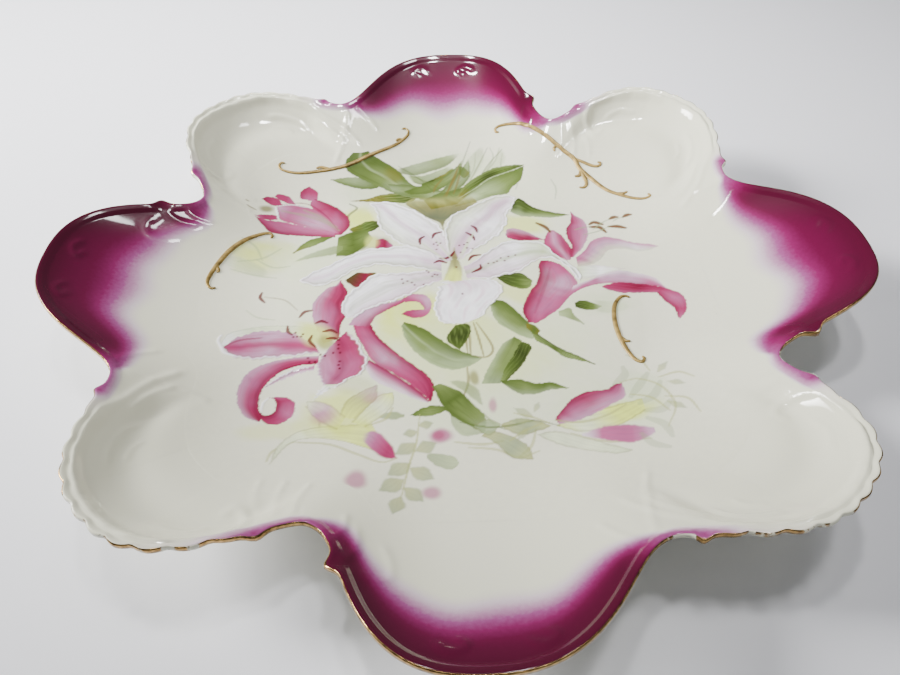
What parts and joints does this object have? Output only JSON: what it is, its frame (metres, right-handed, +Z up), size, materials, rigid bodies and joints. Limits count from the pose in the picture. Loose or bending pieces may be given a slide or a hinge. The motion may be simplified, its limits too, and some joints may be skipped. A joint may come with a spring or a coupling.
{
  "type": "serving bowl",
  "caption": "Shallow lobed porcelain serving bowl on a foot ring, with magenta lobes, a lily bouquet, raised gold scrolls and a gilt rim.",
  "frame": {"origin": "centre of the bowl's footprint, on the table under it", "axes": "+Z up through the bowl's axis; +X to the right coloured lobe and +Y to the back one, as the bouquet is looked at"},
  "size_m": [0.265, 0.265, 0.0312],
  "materials": {
    "porcelain": "clear glossy glaze over white porcelain",
    "foot_porcelain": "glazed sides, wiped bare where it stands",
    "rim_gold": "thin bright gilding, worn along the scallops",
    "magenta_ground": "sprayed on-glaze colour, deep at the rim and fading inwards",
    "lily_enamel": "printed and hand-touched on-glaze enamel",
    "paste_gold": "raised paste under soft brown gold"
  },
  "bodies": {
    "root": {"bowl_body": "porcelain", "foot_ring": "foot_porcelain", "rim_gilding": "rim_gold", "ground_right": "magenta_ground", "ground_back": "magenta_ground", "ground_left": "magenta_ground", "ground_front": "magenta_ground", "lily_transfer": "lily_enamel", "scroll_back_left": "paste_gold", "scroll_back_right": "paste_gold", "scroll_left": "paste_gold", "scroll_right": "paste_gold"}
  },
  "joints": []
}
